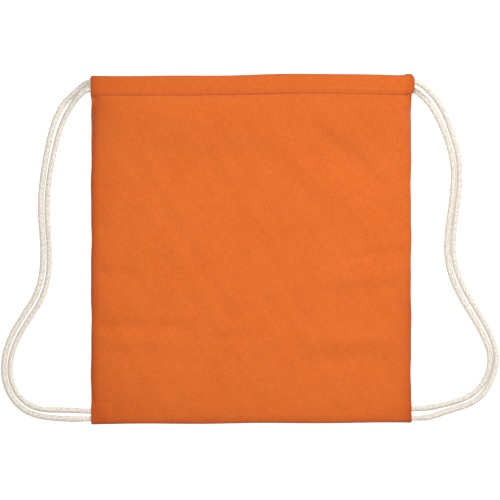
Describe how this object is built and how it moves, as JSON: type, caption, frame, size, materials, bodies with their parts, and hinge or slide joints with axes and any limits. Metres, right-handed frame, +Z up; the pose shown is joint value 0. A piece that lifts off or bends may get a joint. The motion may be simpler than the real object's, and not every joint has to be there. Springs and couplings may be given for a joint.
{
  "type": "drawstring bag",
  "caption": "Flat drawstring bag of woven cotton, with braided cord loops that run through casings at its mouth and are sewn into its bottom corners.",
  "frame": {"origin": "centre of the bag's footprint, on the surface that it lies on", "axes": "+Y from the bag's bottom to its mouth, +Z up from the back panel to the front panel, +X to the right as the front is looked at"},
  "size_m": [0.5942, 0.416, 0.0232],
  "materials": {
    "cloth": "matte",
    "thread": "matte",
    "cord": "matte"
  },
  "bodies": {
    "bag": {"front_panel": "cloth", "back_panel": "cloth", "front_casing": "cloth", "back_casing": "cloth", "left_seam_allowance": "cloth", "right_seam_allowance": "cloth", "bottom_seam_allowance": "cloth", "left_seam_stitch": "thread", "right_seam_stitch": "thread", "bottom_seam_stitch": "thread", "front_casing_stitch": "thread", "back_casing_stitch": "thread", "left_cord_tails": "cord", "right_cord_tails": "cord", "left_corner_tack": "thread", "right_corner_tack": "thread"},
    "left_cord": {"left_cord_front_strand": "cord", "left_cord_back_strand": "cord", "left_cord_hairpin": "cord"},
    "right_cord": {"right_cord_front_strand": "cord", "right_cord_back_strand": "cord", "right_cord_hairpin": "cord"}
  },
  "joints": [
    {"name": "left_cord_pull", "type": "slide", "parent": "bag", "child": "left_cord", "axis": [-1, 0, 0], "range_m": [0, 0.09], "deforming": ["left_cord_front_strand", "left_cord_back_strand", "front_panel", "back_panel", "front_casing", "back_casing", "right_seam_allowance", "right_seam_stitch", "front_casing_stitch", "back_casing_stitch"]},
    {"name": "right_cord_pull", "type": "slide", "parent": "bag", "child": "right_cord", "axis": [1, 0, 0], "range_m": [0, 0.09], "deforming": ["right_cord_front_strand", "right_cord_back_strand", "left_seam_allowance", "left_seam_stitch"]}
  ]
}
